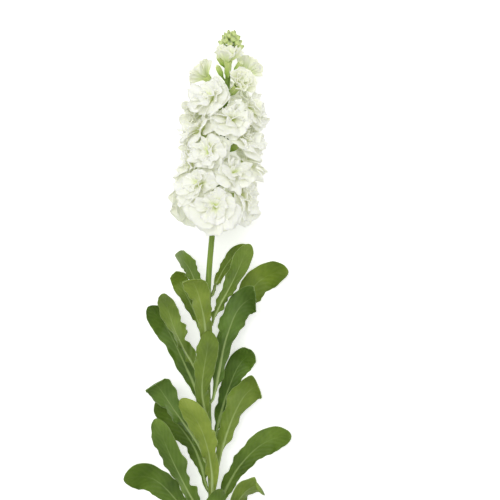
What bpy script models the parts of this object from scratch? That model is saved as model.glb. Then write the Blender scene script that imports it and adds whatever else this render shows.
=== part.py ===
"""One cut stem of double white stock (Matthiola incana), lying on a flat surface.

Blender 4.5, metres, +Z up. The stem lies along +Y with its cut end towards -Y and its flower head
towards +Y. It is built from the cut end (station 0) to the tip of the spike: the green stem with its
flower stalks, the double florets, the half-open florets and white-tipped buds above them, the tuft of
green buds at the tip, and the leaves. The finished stem is then set with its lowest point on z = 0 and
its box centred on the origin.
"""

import math
import random
from collections import namedtuple

import bmesh
import bpy
from mathutils import Vector

for leftover in list(bpy.data.objects):
    bpy.data.objects.remove(leftover)

UP = Vector((0.0, 0.0, 1.0))
GOLDEN_TURN = math.radians(137.508)

# The stem: its length up to the bud tuft, its thickness and how it lies
STEM_LENGTH = 0.568
CUT_RADIUS = 0.0036
TIP_RADIUS = 0.0023
TAPER_POWER = 0.5
HEAD_HEIGHT = 0.027
RISE_LENGTH = 0.400
LEAN_START = 0.360
TIP_LEAN = 0.016
SWAY = 0.003
SWAY_LENGTH = 0.400
CUT_SLANT = math.radians(32.0)
STEM_STATIONS = 18
STEM_SIDES_RESOLUTION = 2

# The flower stalks, in three bands from the lowest to the highest: open florets, half-open florets and
# buds that show a white tip. A band has a count, the pitch between two stalks along the stem, and for its
# first and last stalk how far the mouth stands out from the stem (reach) and up it (rise), how many
# degrees it turns away from the stem's direction (lift), the radius that its floret fills, and its size.
Band = namedtuple("Band", "count pitch reach rise lift radius size")
BANDS = (
    Band(18, 0.0053, (0.0182, 0.0155), (0.0080, 0.0140), (82.0, 54.0), (0.0285, 0.0275), (1.0, 1.0)),
    Band(4, 0.0056, (0.0170, 0.0125), (0.0160, 0.0180), (50.0, 34.0), (0.0185, 0.0165), (1.0, 0.92)),
    Band(3, 0.0056, (0.0115, 0.0100), (0.0125, 0.0080), (38.0, 34.0), (0.0024, 0.0024), (0.80, 0.72)),
)
STALK_DRAW = random.Random(11)
FIRST_STALK = 0.424
FIRST_TURN = math.radians(90.0)
AZIMUTH_DRAW = 0.20
LIFT_DRAW = 14.0
UNDERSIDE_SECTOR = math.radians(28.0)
CALYX_LENGTH = 0.0105
CALYX_RADIUS = 0.0026
PEDICEL_RADIUS = 0.0009
STALK_RESOLUTION = 1

# The florets
FLORET_RISE = 0.0045
SEAT_GAP = 0.0003
CELL_MARGIN = 0.0004
FLOOR_MARGIN = 0.0010
CELL_SOFTNESS = 20.0
TUFT_MIDDLE = 0.0090
TUFT_RADIUS = 0.0130


def mix(a, b, share):
    """The value this share of the way from a to b."""
    return a + (b - a) * share


def smooth(x):
    """A ramp from 0 to 1 that starts and ends level."""
    x = min(max(x, 0.0), 1.0)
    return x * x * (3.0 - 2.0 * x)


def material(name, colour, roughness):
    """A Principled BSDF finish with this base colour and roughness."""
    made = bpy.data.materials.new(name)
    made.use_nodes = True
    shader = made.node_tree.nodes["Principled BSDF"]
    shader.inputs["Base Color"].default_value = (*colour, 1.0)
    shader.inputs["Roughness"].default_value = roughness
    shader.inputs["Metallic"].default_value = 0.0
    return made


STEM_GREEN = material("stem_green", (0.36, 0.52, 0.17), 0.55)
PETAL_WHITE = material("petal_white", (0.93, 0.93, 0.88), 0.60)
HALF_OPEN_CREAM = material("half_open_cream", (0.89, 0.91, 0.76), 0.60)
BUD_GREEN = material("bud_green", (0.55, 0.68, 0.28), 0.55)
LEAF_GREEN = material("leaf_green", (0.22, 0.37, 0.10), 0.60)


def place(name, mesh, finish):
    """A named object in the scene with this mesh and finish."""
    mesh.name = name
    mesh.materials.clear()
    mesh.materials.append(finish)
    made = bpy.data.objects.new(name, mesh)
    bpy.context.scene.collection.objects.link(made)
    return made


def tube(points, radii, resolution):
    """A closed tube mesh along these points, made from a bevelled curve with filled ends."""
    curve = bpy.data.curves.new("tube", "CURVE")
    curve.dimensions = "3D"
    curve.bevel_depth = 1.0
    curve.bevel_resolution = resolution
    curve.use_fill_caps = True
    spline = curve.splines.new("POLY")
    spline.points.add(len(points) - 1)
    for knot, point, radius in zip(spline.points, points, radii):
        knot.co = (*point, 1.0)
        knot.radius = radius
    guide = bpy.data.objects.new("tube", curve)
    bpy.context.scene.collection.objects.link(guide)
    mesh = bpy.data.meshes.new_from_object(guide.evaluated_get(bpy.context.evaluated_depsgraph_get()))
    bpy.data.objects.remove(guide)
    shape = bmesh.new()
    shape.from_mesh(mesh)
    bmesh.ops.remove_doubles(shape, verts=shape.verts, dist=1e-6)
    bmesh.ops.recalc_face_normals(shape, faces=shape.faces)
    shape.to_mesh(mesh)
    shape.free()
    return mesh


def blade(rows, columns, surface):
    """A thin closed blade. surface(t, v, side) gives its points: t runs 0 to 1 from base to tip, v runs
    -1 to 1 across it, and side is 1 on the upper face and -1 on the lower. Both faces are split alike."""
    shape = bmesh.new()
    along = shape.verts.layers.float.new("along")
    across = shape.verts.layers.float.new("across")
    bmesh.ops.create_grid(shape, x_segments=columns, y_segments=rows, size=1.0)
    for vert in shape.verts:
        vert[across] = vert.co.x
        vert[along] = 0.5 * (vert.co.y + 1.0)
    bmesh.ops.triangulate(shape, faces=shape.faces, quad_method="FIXED")
    lower = set(shape.verts)
    bmesh.ops.extrude_face_region(shape, geom=shape.faces)
    for vert in shape.verts:
        vert.co = surface(vert[along], vert[across], -1.0 if vert in lower else 1.0)
    bmesh.ops.recalc_face_normals(shape, faces=shape.faces)
    if shape.calc_volume(signed=True) < 0.0:
        bmesh.ops.reverse_faces(shape, faces=shape.faces)
    mesh = bpy.data.meshes.new("blade")
    shape.to_mesh(mesh)
    shape.free()
    return mesh


def keep_outer_skin(mesh):
    """Fills the hollows that a union has sealed and drops loose scraps: only the largest skin stays."""
    shape = bmesh.new()
    shape.from_mesh(mesh)
    unseen = set(shape.verts)
    skins = []
    while unseen:
        skin = set()
        front = [unseen.pop()]
        while front:
            vert = front.pop()
            skin.add(vert)
            linked = {edge.other_vert(vert) for edge in vert.link_edges} & unseen
            unseen -= linked
            front.extend(linked)
        skins.append(skin)
    largest = max(skins, key=len)
    bmesh.ops.delete(shape, geom=[vert for vert in shape.verts if vert not in largest], context="VERTS")
    shape.to_mesh(mesh)
    shape.free()


def fused(name, body, pieces, finish):
    """One solid of this body and the pieces that grow out of it, joined by a single Boolean union."""
    made = place(name, body, finish)
    group = bpy.data.collections.new(name + "_pieces")
    for mesh in pieces:
        group.objects.link(bpy.data.objects.new(name + "_piece", mesh))
    join = made.modifiers.new("join", "BOOLEAN")
    join.operation = "UNION"
    join.operand_type = "COLLECTION"
    join.collection = group
    join.solver = "MANIFOLD"
    depsgraph = bpy.context.evaluated_depsgraph_get()
    joined = bpy.data.meshes.new_from_object(made.evaluated_get(depsgraph))
    made.modifiers.remove(join)
    made.data = joined
    made.data.materials.clear()
    made.data.materials.append(finish)
    for piece in list(group.objects):
        bpy.data.objects.remove(piece)
    bpy.data.collections.remove(group)
    keep_outer_skin(made.data)
    return made


def soften(made, angle):
    """Shades a round piece smooth, with its sharper edges kept."""
    made.data.shade_smooth()
    made.data.set_sharp_from_angle(angle=math.radians(angle))


def axis_point(station):
    """The stem's centreline: it rises from the cut end, which rests on the surface, to the head."""
    lean = TIP_LEAN * max(0.0, (station - LEAN_START) / (STEM_LENGTH - LEAN_START)) ** 1.6
    sway = SWAY * math.sin(2.0 * math.pi * station / SWAY_LENGTH)
    height = mix(CUT_RADIUS, HEAD_HEIGHT, smooth(station / RISE_LENGTH))
    return Vector((lean + sway, station, height))


def axis_frame(station):
    """The stem's direction at a station, then the directions to its right and upwards from it."""
    step = 0.002
    along = (axis_point(station + step) - axis_point(station - step)).normalized()
    right = along.cross(UP).normalized()
    return along, right, right.cross(along)


def outward(station, azimuth):
    """The direction away from the stem at this angle round it: 0 is to the right and a quarter turn is up."""
    _, right, up = axis_frame(station)
    return right * math.cos(azimuth) + up * math.sin(azimuth)


def stem_radius(station):
    return mix(CUT_RADIUS, TIP_RADIUS, (station / STEM_LENGTH) ** TAPER_POWER)


# The flower stalks: each springs from the stem a golden turn round from the one below it, and ends in
# the green cup of sepals, the calyx, whose mouth carries a floret or a bud.
Stalk = namedtuple("Stalk", "root above base mouth facing centre radius size")


def pushed_aside(azimuth):
    """Turns a stalk that would point straight down at the surface off to the side it leans to."""
    from_below = (azimuth + 1.5 * math.pi) % (2.0 * math.pi) - math.pi
    side = 1.0 if from_below >= 0.0 else -1.0
    spread = UNDERSIDE_SECTOR + abs(from_below) * (1.0 - UNDERSIDE_SECTOR / math.pi)
    return side * spread - 0.5 * math.pi


def stalk(number, station, above, band, share):
    """The stalk that springs from the stem at this station, this share of the way up its band. The next
    stalk springs at the station above. Stalk 0 is the lowest and stands out; higher ones point up."""
    reach, rise, lift, radius, size = (mix(*pair, share) for pair in band[2:])
    turn = FIRST_TURN + number * GOLDEN_TURN + STALK_DRAW.uniform(-AZIMUTH_DRAW, AZIMUTH_DRAW)
    azimuth = pushed_aside(turn)
    along, _, _ = axis_frame(station)
    away = outward(station, azimuth)
    tilt = math.radians(lift + STALK_DRAW.uniform(-LIFT_DRAW, LIFT_DRAW))
    facing = (along * math.cos(tilt) + away * math.sin(tilt)).normalized()
    root = axis_point(station)
    mouth = root + away * reach + along * rise
    centre = mouth + facing * FLORET_RISE * size
    lowest = 0.5 * radius + 0.2 * CALYX_RADIUS
    if centre.z < lowest:
        mouth.z += lowest - centre.z
        centre.z = lowest
    base = mouth - facing * CALYX_LENGTH * size
    return Stalk(root, axis_point(above), base, mouth, facing, centre, radius, size)


def grown_stalks():
    """Every stalk of the spike, from the lowest to the highest."""
    stalks = []
    station = FIRST_STALK
    for band in BANDS:
        for index in range(band.count):
            share = index / (band.count - 1)
            stalks.append(stalk(len(stalks), station, station + band.pitch, band, share))
            station += band.pitch
    return stalks


STALKS = grown_stalks()
OPEN_FLORETS = range(BANDS[0].count)
HALF_OPEN_FLORETS = range(BANDS[0].count, BANDS[0].count + BANDS[1].count)
TIPPED_BUDS = range(BANDS[0].count + BANDS[1].count, len(STALKS))


def stalk_tube(one):
    """A pedicel that curves out of the stem and swells into the calyx."""
    bend = one.base - one.facing * 0.4 * (one.base - one.root).length
    halfway = 0.25 * one.root + 0.5 * bend + 0.25 * one.base
    shoulder = one.base.lerp(one.mouth, 0.35)
    wide = CALYX_RADIUS * one.size
    points = [one.root, halfway, one.base, shoulder, one.mouth]
    radii = [1.15 * PEDICEL_RADIUS, PEDICEL_RADIUS, PEDICEL_RADIUS, 0.95 * wide, wide]
    return tube(points, radii, STALK_RESOLUTION)


def stem():
    """The green stem, cut on a slant at its foot, with every flower stalk grown out of it."""
    stations = [STEM_LENGTH * index / STEM_STATIONS for index in range(STEM_STATIONS + 1)]
    body = tube([axis_point(s) for s in stations], [stem_radius(s) for s in stations], STEM_SIDES_RESOLUTION)
    shape = bmesh.new()
    shape.from_mesh(body)
    slant = Vector((0.0, -math.cos(CUT_SLANT), math.sin(CUT_SLANT)))
    foot = axis_point(0.0) + Vector((0.0, CUT_RADIUS * math.tan(CUT_SLANT), 0.0))
    faces = shape.verts[:] + shape.edges[:] + shape.faces[:]
    cut = bmesh.ops.bisect_plane(shape, geom=faces, plane_co=foot, plane_no=slant, clear_outer=True)
    rim = [part for part in cut["geom_cut"] if isinstance(part, bmesh.types.BMEdge)]
    bmesh.ops.contextual_create(shape, geom=rim)
    bmesh.ops.recalc_face_normals(shape, faces=shape.faces)
    shape.to_mesh(body)
    shape.free()
    made = fused("stem", body, [stalk_tube(one) for one in STALKS], STEM_GREEN)
    soften(made, 40.0)


# The florets crowd each other, so each one is squeezed into a cell of its own. A cell's walls are flat:
# one halfway to each neighbour, one against each stalk, the stem and the tuft, and one at the surface
# below.
Wall = namedtuple("Wall", "normal distance")


def wall_at(centre, point, stand_off):
    """A wall facing this centre, this far in front of a point."""
    away = point - centre
    return Wall(away.normalized(), max(away.length - stand_off, 0.001))


def nearest(point, start, end):
    """The point of a straight run that is nearest to a point."""
    run = end - start
    share = min(max((point - start).dot(run) / run.length_squared, 0.0), 1.0)
    return start + run * share


def cell(number):
    """The walls round the floret of one stalk."""
    me = STALKS[number]
    along, _, _ = axis_frame(STEM_LENGTH)
    tuft = axis_point(STEM_LENGTH) + along * TUFT_MIDDLE
    walls = [Wall(-UP, me.centre.z - FLOOR_MARGIN), wall_at(me.centre, tuft, TUFT_RADIUS)]
    for other in STALKS:
        spine = nearest(me.centre, other.root, other.above)
        walls.append(wall_at(me.centre, spine, stem_radius(FIRST_STALK) + CELL_MARGIN))
        if other is me:
            continue
        between = other.centre - me.centre
        share = me.radius / (me.radius + other.radius)
        walls.append(Wall(between.normalized(), between.length * share - CELL_MARGIN))
        pedicel = nearest(me.centre, other.root, other.base)
        calyx = nearest(me.centre, other.base, other.mouth)
        walls.append(wall_at(me.centre, pedicel, 1.5 * PEDICEL_RADIUS + CELL_MARGIN))
        walls.append(wall_at(me.centre, calyx, CALYX_RADIUS + CELL_MARGIN))
    return walls


def squeezed(point, centre, radius, walls):
    """Draws a point in towards the cell's centre, so that whatever lies within the radius fits the cell."""
    ray = point - centre
    if ray.length < 1e-6:
        return point
    direction = ray.normalized()
    crowding = radius**-CELL_SOFTNESS
    for wall in walls:
        facing = direction.dot(wall.normal)
        if facing > 0.05:
            crowding += (wall.distance / facing) ** -CELL_SOFTNESS
    return centre + ray * (crowding ** (-1.0 / CELL_SOFTNESS) / radius)


# A whorl is a ring of like petals: how many, their length and width, how steeply they leave the cup and
# how steeply they end, how deep the ruffle that runs round it is and how many waves it has, how high on
# the core they root, and how many columns of faces a petal has.
Whorl = namedtuple("Whorl", "count length width steep_from steep_to ruffle waves height columns")
OPEN_WHORLS = (
    Whorl(5, 0.0310, 0.0290, 60.0, -34.0, 0.0014, 9, 0.0012, 3),
    Whorl(3, 0.0230, 0.0245, 78.0, 10.0, 0.0012, 7, 0.0030, 2),
)
FLORET_DRAW = random.Random(21)
HALF_OPEN_WHORLS = (Whorl(4, 0.0200, 0.0200, 76.0, 40.0, 0.0009, 6, 0.0012, 2),)
WHORL_TURN = 0.6
CORE_RADIUS = 0.0029
CLAW_ROOT = 0.0009
CLAW_WIDTH = 0.09
LIMB_START = 0.72
PETAL_ROWS = 2
PETAL_THICKNESS = 0.0007
PETAL_OVERLAP = 0.22
PETAL_CUPPING = 0.18
PETAL_ROUNDING = 0.20
MIDLINE_PIECES = 12


def petal_width(t):
    """A petal is a narrow claw that spreads into a broad, blunt limb."""
    return mix(CLAW_WIDTH, 1.0, smooth(t / LIMB_START)) * (1.0 - 0.12 * smooth((t - 0.75) / 0.25))


def petal(one, whorl, turn, wave_start, walls):
    """One ruffled petal, rooted in the core of the floret on this stalk."""
    across = one.facing.orthogonal().normalized()
    side = one.facing.cross(across)
    radial = across * math.cos(turn) + side * math.sin(turn)
    sideways = one.facing.cross(radial)

    def midline(t):
        """How far out from the floret's axis and how high above the mouth the petal's midline runs."""
        out, high = CLAW_ROOT, whorl.height
        for piece in range(MIDLINE_PIECES):
            done = (piece + 0.5) / MIDLINE_PIECES * t
            steep = math.radians(mix(whorl.steep_from, whorl.steep_to, done**0.75))
            out += math.cos(steep) * whorl.length * t / MIDLINE_PIECES
            high += math.sin(steep) * whorl.length * t / MIDLINE_PIECES
        return out, high

    def middle(share, v):
        t = share * (1.0 - PETAL_ROUNDING * v * v * share)
        out, high = midline(t)
        half = 0.5 * whorl.width * petal_width(t)
        round_floret = turn + math.atan2(half * v, out)
        high += PETAL_OVERLAP * half * v
        high += whorl.ruffle * t * t * math.sin(whorl.waves * round_floret + wave_start)
        out -= PETAL_CUPPING * half * v * v * t
        local = one.mouth + radial * out + sideways * half * v + one.facing * (high + SEAT_GAP)
        return squeezed(local, one.centre, one.radius, walls)

    def surface(t, v, face):
        step = 0.04
        lengthwise = middle(min(t + step, 1.0), v) - middle(max(t - step, 0.0), v)
        crosswise = middle(t, min(v + step, 1.0)) - middle(t, max(v - step, -1.0))
        normal = lengthwise.cross(crosswise).normalized()
        return middle(t, v) + normal * (0.5 * PETAL_THICKNESS * face)

    return blade(PETAL_ROWS, whorl.columns, surface)


def floret(name, number, whorls, finish):
    """A floret: its whorls of petals round a core that sits on the mouth of the calyx."""
    one = STALKS[number]
    walls = cell(number)
    radius = CORE_RADIUS * one.size
    seat = one.mouth + one.facing * SEAT_GAP
    core = tube(
        [seat, seat + one.facing * radius, seat + one.facing * 2.4 * radius],
        [0.80 * radius, radius, 0.50 * radius],
        STALK_RESOLUTION,
    )
    petals = []
    start = FLORET_DRAW.uniform(0.0, 2.0 * math.pi)
    for layer, whorl in enumerate(whorls):
        wave_start = FLORET_DRAW.uniform(0.0, 2.0 * math.pi)
        for index in range(whorl.count):
            turn = start + WHORL_TURN * layer + 2.0 * math.pi * index / whorl.count
            petals.append(petal(one, whorl, turn, wave_start, walls))
    soften(fused(name, core, petals, finish), 50.0)


TIP_LENGTH = 0.0062
TIP_WIDEST = 0.0023
TIP_PROFILE = (0.62, 1.0, 0.98, 0.72, 0.22)


def bud_tip(name, number):
    """The folded petals that show white at the mouth of a bud about to open."""
    one = STALKS[number]
    seat = one.mouth + one.facing * SEAT_GAP
    step = one.facing * TIP_LENGTH * one.size / (len(TIP_PROFILE) - 1)
    points = [seat + step * index for index in range(len(TIP_PROFILE))]
    mesh = tube(points, [TIP_WIDEST * one.size * width for width in TIP_PROFILE], STALK_RESOLUTION)
    soften(place(name, mesh, HALF_OPEN_CREAM), 50.0)


# The tuft's buds, from the smallest at the top to the largest at the bottom: how far up the knob they
# grow, how many degrees they fall away from the stem's direction, how long their stalks are, their size
TUFT_BUDS = 22
TUFT_HEIGHTS = (0.0104, 0.0032)
TUFT_FALLS = (8.0, 88.0)
TUFT_SPREAD = 0.5
TUFT_STALKS = (0.0046, 0.0052)
TUFT_SIZES = (0.78, 1.10)
TUFT_BUD_LENGTH = 0.0066
TUFT_BUD_RADIUS = 0.00240
TUFT_STALK_RADIUS = 0.0007
TUFT_BUD_LEAN = 0.35
KNOB_HEIGHTS = (0.0, 0.0060, 0.0112)
KNOB_RADII = (TIP_RADIUS, 0.0028, 0.0014)


def bud_tuft():
    """The close tuft of green buds at the tip, on short stalks out of one knob."""
    along, _, _ = axis_frame(STEM_LENGTH)
    seat = axis_point(STEM_LENGTH) + along * SEAT_GAP
    knob = tube([seat + along * height for height in KNOB_HEIGHTS], KNOB_RADII, STEM_SIDES_RESOLUTION)
    buds = []
    for index in range(TUFT_BUDS):
        share = (index + 0.3) / TUFT_BUDS
        fall = math.radians(mix(*TUFT_FALLS, share**TUFT_SPREAD))
        away = outward(STEM_LENGTH, index * GOLDEN_TURN)
        direction = (along * math.cos(fall) + away * math.sin(fall)).normalized()
        leaning = (direction + TUFT_BUD_LEAN * along).normalized()
        size = mix(*TUFT_SIZES, share)
        root = seat + along * mix(*TUFT_HEIGHTS, share)
        neck = root + direction * mix(*TUFT_STALKS, share)
        points = [root] + [neck + leaning * TUFT_BUD_LENGTH * size * part for part in (0.0, 0.5, 1.0)]
        wide = TUFT_BUD_RADIUS * size
        buds.append(tube(points, [TUFT_STALK_RADIUS, 0.65 * wide, wide, 0.45 * wide], STALK_RESOLUTION))
    soften(fused("bud_tuft", knob, buds, BUD_GREEN), 60.0)


# The leaves stand in five rows, two fifths of a turn from one to the next. Laid down, the two lower
# rows spread out on the surface, the two side rows arch over them and the top row lies along the stem.
# azimuth is where the base sits round the stem, roll is how far the blade has turned over once clear of
# it (0 shows the upper face and 180 the ribbed underside), bow_from and bow_to are the angles to the
# stem at the base and near the tip, hook is how much further the tip bends, arch is how high the middle
# stands, tip_height is above the surface, settle is where it is reached, cupping is how hollow the
# blade is and freedom how freely it rolls and twists. The leaves of the top row swing to either side of
# the stem in turn.
Row = namedtuple("Row", "azimuth roll bow_from bow_to hook arch tip_height settle cupping freedom")
ROWS = (
    Row(90.0, 180.0, -3.0, 14.0, 16.0, 0.010, 0.047, 1.0, 0.26, 1.0),
    Row(216.0, 356.0, -14.0, -38.0, -24.0, 0.0, -0.0012, 0.40, 0.05, 0.2),
    Row(28.0, 160.0, 15.0, 32.0, 34.0, 0.009, 0.018, 1.0, 0.26, 0.8),
    Row(152.0, 202.0, -15.0, -30.0, -34.0, 0.009, 0.018, 1.0, 0.26, 0.8),
    Row(-36.0, 4.0, 14.0, 38.0, 24.0, 0.0, -0.0012, 0.40, 0.05, 0.2),
)
LEAF_DRAW = random.Random(28)
LEAVES = 20
FIRST_LEAF = 0.095
LAST_LEAF = 0.352
LEAVES_END = 0.408
LEAF_LENGTH = 0.130
LEAF_WIDTH = 0.0250
NARROWEST_SHARE = 0.62
LEAF_EDGE_THICKNESS = 0.0007
RIB_THICKNESS = 0.0016
LEAF_STEPS = 10
LEAF_COLUMNS = 2
ROWS_TO_TIP = 1.3
LEAF_ROUNDING = 0.03

# How far the leaves differ from each other: the lowest ones spread widest, and each one draws its own
# bow, hook, sway, length, width, roll, twist, cupping, fold along the midrib, arch, and lift and curl of
# the tip.
WIDEST_SPREAD = 1.25
NARROWEST_SPREAD = 0.70
BASE_BOW_DRAW = 2.0
BOW_DRAW = 13.0
HOOK_DRAW = (-0.8, 2.0)
SWAY_DRAW = 9.0
LENGTH_DRAW = (0.70, 1.0)
WIDTH_DRAW = (0.85, 1.08)
ROLL_DRAW = 18.0
TWIST_DRAW = 26.0
CUPPING_DRAW = (0.3, 1.3)
FOLD_DRAW = (0.0, 0.70)
ARCH_DRAW = (0.8, 1.2)
TIP_HEIGHT_DRAW = (0.95, 1.2)
TIP_LIFT_DRAW = (-0.0060, 0.0120)
FLOOR_TIP_LIFT_DRAW = (0.0, 0.0110)
TIP_CURL_DRAW = (-70.0, 125.0)
FLOOR_TIP_CURL_DRAW = (0.0, 70.0)

# Places along a leaf, as shares of its length, and its wavy margin, which calms down towards the tip
ROLL_END = 0.40
BOW_END = 0.80
HOOK_START = 0.60
LIFT_START = 0.72
LIFT_LENGTH = 0.34
CURL_START = 0.66
MARGIN_WAVES = 4.5
MARGIN_SKEW = 1.4
MARGIN_RISE = 0.0021
MARGIN_NOTCH = 0.09
LEAF_PIECES = 16


def leaf_width(t):
    """A stock leaf is a long strap that is broadest near its rounded tip."""
    strap = mix(0.15, 0.62, smooth(t / 0.45)) + 0.38 * smooth((t - 0.40) / 0.38)
    return strap * (1.0 - 0.50 * max((t - 0.84) / 0.16, 0.0) ** 2.4)


def leaf(number):
    """One leaf, from its seat on the stem to its tip."""
    height = number / (LEAVES - 1)
    station = mix(FIRST_LEAF, LAST_LEAF, height)
    row = ROWS[number % len(ROWS)]
    along, right, _ = axis_frame(station)
    forward = Vector((along.x, along.y, 0.0)).normalized()
    draw = LEAF_DRAW.uniform
    bow_from = row.bow_from + draw(-BASE_BOW_DRAW, BASE_BOW_DRAW)
    bow_to = row.bow_to * mix(WIDEST_SPREAD, NARROWEST_SPREAD, height) + draw(-BOW_DRAW, BOW_DRAW)
    hook = row.hook * draw(*HOOK_DRAW)
    sway = draw(-SWAY_DRAW, SWAY_DRAW)
    if row is ROWS[0] and (number // len(ROWS)) % 2 == 1:
        bow_from, bow_to, hook = -bow_from, -bow_to, -hook
    room = (LEAVES_END - station) / math.cos(math.radians(0.55 * bow_to))
    length = min(LEAF_LENGTH, room) * draw(*LENGTH_DRAW)
    size = smooth((length - 0.055) / 0.075)
    width = LEAF_WIDTH * mix(NARROWEST_SHARE, 1.0, size) * draw(*WIDTH_DRAW)
    roll_from = 90.0 + row.azimuth
    roll_to = row.roll + draw(-ROLL_DRAW, ROLL_DRAW) * row.freedom
    twist = draw(-TWIST_DRAW, TWIST_DRAW) * row.freedom
    cupping = row.cupping * draw(*CUPPING_DRAW)
    fold = row.freedom * draw(*FOLD_DRAW)
    phase = draw(0.0, 2.0 * math.pi)
    arch = row.arch * draw(*ARCH_DRAW)
    tip_height = row.tip_height * draw(*TIP_HEIGHT_DRAW)
    tip_lift = draw(*(TIP_LIFT_DRAW if row.tip_height > 0.0 else FLOOR_TIP_LIFT_DRAW))
    tip_curl = draw(*(TIP_CURL_DRAW if row.tip_height > 0.0 else FLOOR_TIP_CURL_DRAW))
    seat = stem_radius(station) + SEAT_GAP + 0.5 * RIB_THICKNESS
    base = axis_point(station) + outward(station, math.radians(row.azimuth)) * seat

    def heading(t):
        """The leaf's direction in plan."""
        bow = mix(bow_from, bow_to, smooth(t / BOW_END))
        bow += sway * math.sin(2.0 * math.pi * t) * smooth(t / 0.25)
        angle = math.radians(bow + hook * smooth((t - HOOK_START) / (1.0 - HOOK_START)))
        return right * math.sin(angle) + forward * math.cos(angle)

    def centre(t):
        """The midrib's line: it bows away from the stem in plan, rises and falls, and curls at its tip."""
        point = base.copy()
        point.z = mix(base.z, tip_height, smooth(t / row.settle)) + arch * math.sin(math.pi * min(t, 1.0))
        point.z += tip_lift * smooth((t - LIFT_START) / LIFT_LENGTH)
        for piece in range(LEAF_PIECES):
            done = (piece + 0.5) / LEAF_PIECES * t
            curl = math.radians(tip_curl * smooth((done - CURL_START) / (1.0 - CURL_START)))
            point += (heading(done) * math.cos(curl) + UP * math.sin(curl)) * (length * t / LEAF_PIECES)
        return point

    def surface(share, v, face):
        t = 1.0 - (1.0 - share) ** ROWS_TO_TIP
        direction = (centre(t + 0.01) - centre(t - 0.01)).normalized()
        level = heading(t).cross(UP).normalized()
        above = level.cross(direction)
        roll = math.radians(mix(roll_from, roll_to, smooth(t / ROLL_END)) + twist * smooth((t - 0.4) / 0.6))
        sideways = level * math.cos(roll) + above * math.sin(roll)
        upper = above * math.cos(roll) - level * math.sin(roll)
        waviness = smooth(t / 0.2) * (1.0 - 0.7 * smooth((t - 0.55) / 0.3))
        turn = 2.0 * math.pi * MARGIN_WAVES * t + MARGIN_SKEW * v + phase
        half = 0.5 * width * leaf_width(t) * (1.0 + MARGIN_NOTCH * waviness * math.cos(turn))
        wave = MARGIN_RISE * waviness * math.sin(turn) * v * v
        rib = max(1.0 - 2.2 * abs(v), 0.0) * mix(1.0, 0.25, t)
        lower_depth = 0.5 * LEAF_EDGE_THICKNESS + (RIB_THICKNESS - LEAF_EDGE_THICKNESS) * rib
        depth = 0.5 * LEAF_EDGE_THICKNESS if face > 0.0 else -lower_depth
        rounded = centre(t * (1.0 - LEAF_ROUNDING * v * v * t))
        hollow = (cupping * v * v + fold * abs(v) * (1.0 - 0.7 * smooth(t))) * half
        point = rounded + sideways * half * v + upper * (hollow + wave + depth)
        point.z = max(point.z, LEAF_EDGE_THICKNESS if face > 0.0 else 0.0)
        return point

    soften(place(f"leaf_{number + 1:02d}", blade(LEAF_STEPS, LEAF_COLUMNS, surface), LEAF_GREEN), 60.0)


def set_down(objects):
    """Moves the whole stem so that it stands on z = 0 with its box centred on the origin."""
    corners = [made.matrix_world @ vert.co for made in objects for vert in made.data.vertices]
    low = Vector([min(corner[axis] for corner in corners) for axis in range(3)])
    high = Vector([max(corner[axis] for corner in corners) for axis in range(3)])
    shift = Vector((-0.5 * (low.x + high.x), -0.5 * (low.y + high.y), -low.z))
    for made in objects:
        made.location = shift


stem()
for order, number in enumerate(OPEN_FLORETS, start=1):
    floret(f"floret_{order:02d}", number, OPEN_WHORLS, PETAL_WHITE)
for order, number in enumerate(HALF_OPEN_FLORETS, start=1):
    floret(f"half_open_{order:02d}", number, HALF_OPEN_WHORLS, HALF_OPEN_CREAM)
for order, number in enumerate(TIPPED_BUDS, start=1):
    bud_tip(f"bud_tip_{order:02d}", number)
bud_tuft()
for number in range(LEAVES):
    leaf(number)
set_down(list(bpy.context.scene.collection.objects))
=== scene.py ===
import math
import random
from collections import namedtuple

import bmesh
import bpy
import numpy as np
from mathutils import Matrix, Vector


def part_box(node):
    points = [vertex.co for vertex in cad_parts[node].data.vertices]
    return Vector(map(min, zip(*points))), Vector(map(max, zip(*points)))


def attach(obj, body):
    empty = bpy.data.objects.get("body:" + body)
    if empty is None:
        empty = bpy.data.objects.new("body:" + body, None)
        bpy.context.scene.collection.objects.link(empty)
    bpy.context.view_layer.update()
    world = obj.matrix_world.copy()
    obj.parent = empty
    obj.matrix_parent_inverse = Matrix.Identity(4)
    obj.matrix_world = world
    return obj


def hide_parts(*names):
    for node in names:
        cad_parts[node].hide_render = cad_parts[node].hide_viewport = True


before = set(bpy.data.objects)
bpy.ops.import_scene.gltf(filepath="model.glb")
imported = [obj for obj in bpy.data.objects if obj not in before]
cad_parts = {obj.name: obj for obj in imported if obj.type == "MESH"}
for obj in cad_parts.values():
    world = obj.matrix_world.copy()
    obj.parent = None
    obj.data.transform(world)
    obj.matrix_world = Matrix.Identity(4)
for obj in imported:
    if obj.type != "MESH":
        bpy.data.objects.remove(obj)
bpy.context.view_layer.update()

# The table that the cut stem lies on, the light of a bright white studio, and the camera that looks
# straight down. The picture is framed on the bud tuft, as wide as the photograph, where a pixel at the
# height of the flower head is 0.88 mm.
PIXEL = 0.00088
PICTURE_SIDE = 500
TUFT_PIXEL = (231, 30)
LENS = 85.0
SENSOR = 36.0
TABLE_SIDE = 40.0
TABLE_GAP = 0.0003
TABLE_MOTTLE = 3.0
TABLE_GLOW = 0.42
HEAD_PLACE = (0.0, 0.1, 0.0)
ROOM_LIGHT = 0.56

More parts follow.
